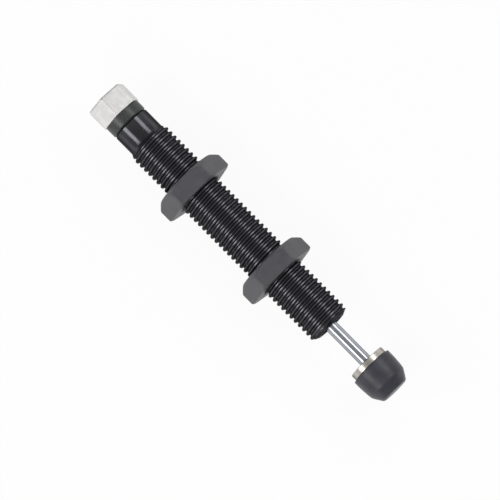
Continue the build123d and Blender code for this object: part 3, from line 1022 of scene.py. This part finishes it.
@dataclass
class RodEnd:
    """The chromed rod with its cap ring and bumper."""

    rod_edge: float = 0.15
    neck_r: float = 0.65
    stud_r: float = 0.5
    cap_thickness: float = 1.13
    cap_edge: float = 0.15
    hub_r: float = 1.9
    barb: float = 0.3
    barb_length: float = 0.7
    nose_length: float = 1.84
    nose_r: float = 2.55
    taper: float = 0.23
    crown: float = 0.07

    def build_rod(self) -> bpy.types.Object:
        """Build the rod with its neck and stud.

        Returns:
            The new piece.
        """
        rod = Extent.of("piston_rod")
        piston = Extent.of("piston_head")
        seat = Extent.of("spring_seat")
        corners = [
            (rod.front, 0.0),
            (rod.front, rod.radius, self.rod_edge),
            (piston.front, rod.radius, 0.05),
            (piston.front, self.neck_r),
            (seat.front, self.neck_r),
            (seat.front, self.stud_r),
            (rod.rear, self.stud_r, 0.05),
            (rod.rear, 0.0),
        ]
        return lathe("rod_chromed", corners, angles(count=72))

    def build_cap(self) -> bpy.types.Object:
        """Build the cap ring with its barbed hub.

        Returns:
            The new piece.
        """
        cap = Extent.of("cap_ring")
        rod = Extent.of("piston_rod")
        face = cap.rear + self.cap_thickness
        barb = cap.front - self.barb_length
        corners = [
            (cap.rear, rod.radius, 0.06),
            (cap.rear, cap.radius, self.cap_edge),
            (face, cap.radius, self.cap_edge),
            (face, self.hub_r),
            (barb, self.hub_r),
            (barb, self.hub_r + self.barb, 0.04),
            (cap.front, self.hub_r, 0.04),
            (cap.front, 0.0),
            (rod.front, 0.0),
            (rod.front, rod.radius),
        ]
        return lathe("cap_ring_turned", corners, angles(), steps=5)

    def build_bumper(self) -> bpy.types.Object:
        """Build the bumper: a crowned side, a conical nose and a pocket over the hub.

        The crown adds crown * 4 u (1 - u) to the side's straight taper at share u of its length.

        Returns:
            The new piece.
        """
        bumper = Extent.of("bumper")
        cap = Extent.of("cap_ring")
        shoulder = bumper.front - self.nose_length
        barb = cap.front - self.barb_length
        share = np.linspace(0.0, 1.0, 9)
        side_x = bumper.rear + share * (shoulder - bumper.rear)
        side_r = bumper.radius - self.taper * share + self.crown * 4 * share * (1 - share)
        side_r -= np.max(side_r) - bumper.radius
        side = list(zip(side_x, side_r))
        corners = [
            (bumper.front, 0.0),
            (cap.front, 0.0),
            (cap.front, self.hub_r),
            (barb, self.hub_r + self.barb),
            (barb, self.hub_r),
            (bumper.rear, self.hub_r),
            (*side[0], 0.22),
            *side[1:-1],
            (*side[-1], 0.35),
            (bumper.front, self.nose_r, 0.4),
        ]
        return lathe("bumper_moulded", corners, angles(), SHARP_BUMPER, steps=6)

    def dress(self) -> None:
        """Build the pieces and fit them to the frame."""
        carry(self.build_rod(), "rod", "piston_rod", ROD_FINISH)
        carry(self.build_cap(), "rod", "cap_ring", CAP_FINISH)
        carry(self.build_bumper(), "rod", "bumper", BUMPER_FINISH)


class RingPlace(Enum):
    """The O-rings, each by its CAD node and the body that it moves with."""

    BEARING = ("bearing_o_ring", "barrel")
    REAR_PLUG = ("rear_plug_o_ring", "barrel")
    SPINDLE = ("spindle_o_ring", "adjuster")


@dataclass
class ORing:
    """A round O-ring on its groove's floor, with room to turn in its bore."""

    place: RingPlace
    room: float = 0.03

    def dress(self) -> None:
        """Build the ring and fit it to the frame.

        The section is the circle (x + c cos a, R + c sin a).
        """
        node, body = self.place.value
        ring = Extent.of(node)
        inner_r, outer_r = ring.radius - ring.length, ring.radius - self.room
        section_r = (outer_r - inner_r) / 2
        a = angles(count=16)[:-1, None]
        theta = angles(count=96)
        x = (ring.rear + ring.front) / 2 + section_r * np.cos(a) + 0 * theta
        r = inner_r + section_r + section_r * np.sin(a) + 0 * theta
        made = turned(f"{node}_moulded", np.stack([x, r], axis=2), theta, SHARP_O_RING)
        carry(made, body, node, SEAL_FINISH)


@dataclass
class InnerWorks:
    """The sealed pieces.

    Most keep their CAD shapes and get the finish of their slot. The return spring is built anew.
    """

    spring_wire: float = 0.3
    spring_turns: int = 9
    steps_per_turn: int = 36
    wire_sides: int = 12

    def build_spring(self) -> bpy.types.Object:
        """Build the return spring: a round wire carried along a helix with closed end turns.

        At share u of its turns n the wire's middle is (x(u), R cos w, R sin w) with w = 2 pi n u.
        x rises by one wire over the first and the last turn, and evenly between them. The section
        is the circle (r cos a) along x and (r sin a) along the radius, and shrinks to a point at
        both ends.

        Returns:
            The new piece.
        """
        spring = Extent.of("return_spring")
        wire_r = self.spring_wire / 2
        mean_r = spring.radius - wire_r
        turns = np.linspace(0.0, self.spring_turns, self.steps_per_turn * self.spring_turns + 1)
        turns = np.concatenate([turns[:1], turns, turns[-1:]])
        thick = np.full(len(turns), wire_r)
        thick[[0, -1]] = 0.0
        travel = spring.length - self.spring_wire
        stops = [0.0, 1.0, self.spring_turns - 1.0, self.spring_turns]
        middle = np.interp(turns, stops, [0.0, self.spring_wire, travel - self.spring_wire, travel])
        a = angles(self.wire_sides)[:-1]
        x = (spring.rear + wire_r + middle)[:, None] + thick[:, None] * np.cos(a)
        r = mean_r + thick[:, None] * np.sin(a)
        w = TURN * turns[:, None]
        points = np.stack([x, r * np.cos(w), r * np.sin(w)], axis=2).reshape(-1, 3) * MM
        wide = len(a)
        i, j = np.meshgrid(np.arange(len(turns) - 1), np.arange(wide), indexing="ij")
        here, beside = i * wide + j, i * wide + (j + 1) % wide
        quads = np.stack([here, beside, beside + wide, here + wide], axis=2)
        return solid("return_spring_wound", points, quads.reshape(-1, 4), SHARP_WIRE)

    def dress_spring(self) -> None:
        """Fit the spring: give it its finish, bake its place into its mesh and hide the CAD spring.
        """
        spring = Extent.of("return_spring")
        made = self.build_spring()
        made.data.materials.append(WIRE_FINISH.material())
        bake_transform(made)
        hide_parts("return_spring")
        log.info("%s: %d faces, from barrel to rod", made.name, len(made.data.polygons))

    def dress_nodes(self) -> None:
        """Give every CAD node the finish of its material slot."""
        finishes = {
            "black_oxide": BODY_FINISH,
            "nut_finish": NUT_FINISH,
            "nickel_plate": CAP_FINISH,
            "polished_rod": ROD_FINISH,
            "machined_steel": STEEL_FINISH,
            "spring_steel": WIRE_FINISH,
            "bronze": BRONZE_FINISH,
            "seal_rubber": SEAL_FINISH,
            "bumper_rubber": BUMPER_FINISH,
            "foam": FOAM_FINISH,
            "ring_plastic": RING_PLASTIC_FINISH,
        }
        slots = {part["node"]: part["material_slot"] for part in frame["record"]["subparts"]}
        for node, made in frame["nodes"].items():
            made.data.materials.clear()
            made.data.materials.append(finishes[slots[node]].material())
        log.info("dressed %d CAD nodes", len(frame["nodes"]))

    def dress(self) -> None:
        """Dress the CAD nodes, then build the spring and the O-rings."""
        self.dress_nodes()
        self.dress_spring()
        for place in RingPlace:
            ORing(place).dress()


@dataclass
class Studio:
    """Floor, lights, surroundings and camera.

    Attributes:
        target: Where the camera's middle ray crosses the absorber's middle plane, in millimetres.
        distance: Camera distance in millimetres.
        lean: How far the camera leans from straight above towards the bumper, in degrees.
        roll: How far +X points below the image's horizontal, in degrees.
        view_width: Width of the view at the target, in millimetres.
        lamp_angle: Angle of the two strip lamps from straight above, about the axis, in degrees.
        lamp_distance: Their distance from the axis, in millimetres.
        lamp_size: Their length and width, in millimetres.
        lamp_watts: Power of the left and of the right one.
        floor_radius: Radius of the floor, in millimetres.
        floor_white: Share of pure white in the floor as it is seen. The rest is lit paint.
        tent_by_height: (z, strength) stops of the tent's light, from the horizon upwards.
        tent_by_end: (x, factor) stops, from the absorber's sides to its ends.
    """

    target: tuple[float, float, float] = (-18.79, -0.7, 0.0)
    distance: float = 900.0
    lean: float = 6.1
    roll: float = 45.27
    view_width: float = 84.12
    lamp_angle: float = 47.0
    lamp_distance: float = 600.0
    lamp_size: tuple[float, float] = (800.0, 220.0)
    lamp_watts: tuple[float, float] = (1.75, 2.4)
    floor_radius: float = 2500.0
    floor_white: float = 0.93
    tent_by_height: Stops = ((0.0, 0.66), (0.3, 0.62), (0.7, 0.45), (0.93, 0.45), (0.985, 0.4))
    tent_by_end: Stops = ((0.3, 1.0), (0.8, 0.1))

    def add_camera(self) -> None:
        """Add the camera, above the absorber and leaning towards its bumper."""
        lean, roll = math.radians(self.lean), math.radians(self.roll)
        along = Vector((math.cos(lean), 0.0, -math.sin(lean)))
        across = Vector((0.0, 1.0, 0.0))
        back = along.cross(across)
        right = along * math.cos(roll) + across * math.sin(roll)
        up = across * math.cos(roll) - along * math.sin(roll)
        data = bpy.data.cameras.new("camera")
        data.sensor_width = 36.0
        data.lens = data.sensor_width * self.distance / self.view_width
        data.clip_start = 0.05
        data.clip_end = 20.0
        camera = linked("camera", data)
        place = (Vector(self.target) + back * self.distance) * MM
        turn = Matrix((right, up, back)).transposed().to_4x4()
        camera.matrix_world = Matrix.Translation(place) @ turn
        bpy.context.scene.camera = camera

    def add_lamps(self) -> None:
        """Add two strip lamps along the absorber, one each side."""
        for name, side, watts in zip(("left_strip", "right_strip"), (1, -1), self.lamp_watts):
            data = bpy.data.lights.new(name, "AREA")
            data.shape = "RECTANGLE"
            data.size, data.size_y = (length * MM for length in self.lamp_size)
            data.energy = watts
            lamp = linked(name, data)
            angle = math.radians(self.lamp_angle) * side
            away = Vector((0.0, math.sin(angle), math.cos(angle)))
            middle = Vector((self.target[0], 0.0, 0.0))
            turn = Matrix.Rotation(-angle, 4, "X")
            lamp.matrix_world = Matrix.Translation((middle + away * self.lamp_distance) * MM) @ turn

    def add_floor(self) -> None:
        """Add a plain white floor under the nuts' lower flats.

        The floor is one face, whose edge is the circle (R cos a, R sin a).
        """
        level = Extent.of(NutPlace.FRONT.node).bottom
        theta = angles(count=64)[:-1]
        rim = np.stack([np.cos(theta), np.sin(theta), np.zeros_like(theta)], axis=1)
        points = rim * self.floor_radius * MM + np.array([0.0, 0.0, level * MM])
        mesh = bpy.data.meshes.new("floor")
        mesh.from_pydata(points.tolist(), [], [tuple(range(len(points)))])
        floor = linked("floor", mesh)
        mesh.materials.append(self.floor_material())

    def floor_material(self) -> bpy.types.Material:
        """White matte paint that the camera, metal and glass see as white, with a light shadow.

        Returns:
            The material.
        """
        made = bpy.data.materials.new("white_floor")
        tree = emptied(made)
        paint = add(tree, "ShaderNodeBsdfDiffuse", {"Color": linear("#f2f2f2")})
        white = add(tree, "ShaderNodeEmission", {"Color": linear("#ffffff"), "Strength": 1.0})
        share = calculated(tree, "MULTIPLY", self.seen(tree), self.floor_white)
        inputs = {"Fac": share, 1: paint.outputs["BSDF"], 2: white.outputs["Emission"]}
        mix = add(tree, "ShaderNodeMixShader", inputs)
        add(tree, "ShaderNodeOutputMaterial", {"Surface": mix.outputs["Shader"]})
        return made

    def seen(self, tree: Tree) -> Socket:
        """One for camera, glossy and transmission rays, and zero for the light that is shed."""
        path = add(tree, "ShaderNodeLightPath").outputs
        either = calculated(tree, "MAXIMUM", path["Is Camera Ray"], path["Is Glossy Ray"])
        return calculated(tree, "MAXIMUM", either, path["Is Transmission Ray"])

    def add_surroundings(self) -> None:
        """Surround the scene with a white tent that is dimmer above and nearly dark at both ends.

        Its strength is a curve of the ray's height z, times a curve of its part along x.
        """
        world = bpy.data.worlds.new("tent")
        bpy.context.scene.world = world
        tree = emptied(world)
        ray = add(tree, "ShaderNodeTexCoord").outputs["Generated"]
        parts = add(tree, "ShaderNodeSeparateXYZ", {"Vector": ray}).outputs
        height = self.curve(tree, parts["Z"], self.tent_by_height)
        ends = self.curve(tree, calculated(tree, "ABSOLUTE", parts["X"]), self.tent_by_end)
        strength = calculated(tree, "MULTIPLY", height, ends)
        sky = add(tree, "ShaderNodeBackground", {"Color": linear("#ffffff"), "Strength": strength})
        add(tree, "ShaderNodeOutputWorld", {"Surface": sky.outputs["Background"]})

    def curve(self, tree: Tree, value: Socket, stops: Stops) -> Socket:
        """A straight-line curve through stops.

        Args:
            tree: The node tree.
            value: Where the curve is read, from 0 to 1.
            stops: (place, level) pairs in order.

        Returns:
            The level.
        """
        ramp = add(tree, "ShaderNodeValToRGB", {"Fac": value})
        while len(ramp.color_ramp.elements) < len(stops):
            ramp.color_ramp.elements.new(0.5)
        for element, (place, grey) in zip(ramp.color_ramp.elements, stops):
            element.position = place
            element.color = (grey, grey, grey, 1.0)
        return ramp.outputs["Color"]

    def set_up(self) -> None:
        """Build the whole studio."""
        self.add_camera()
        self.add_lamps()
        self.add_floor()
        self.add_surroundings()
        bpy.context.scene.view_settings.view_transform = "Standard"
        log.info("studio ready")


def main() -> None:
    """Build the studio and the absorber's classes in order."""
    logging.basicConfig(level=logging.INFO, format="%(name)s: %(message)s")
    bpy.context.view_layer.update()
    Studio().set_up()
    InnerWorks().dress()
    ThreadedBody().dress()
    for place in NutPlace:
        LockNut(place).dress()
    Adjuster().dress()
    RodEnd().dress()


if __name__ == "__main__":
    main()
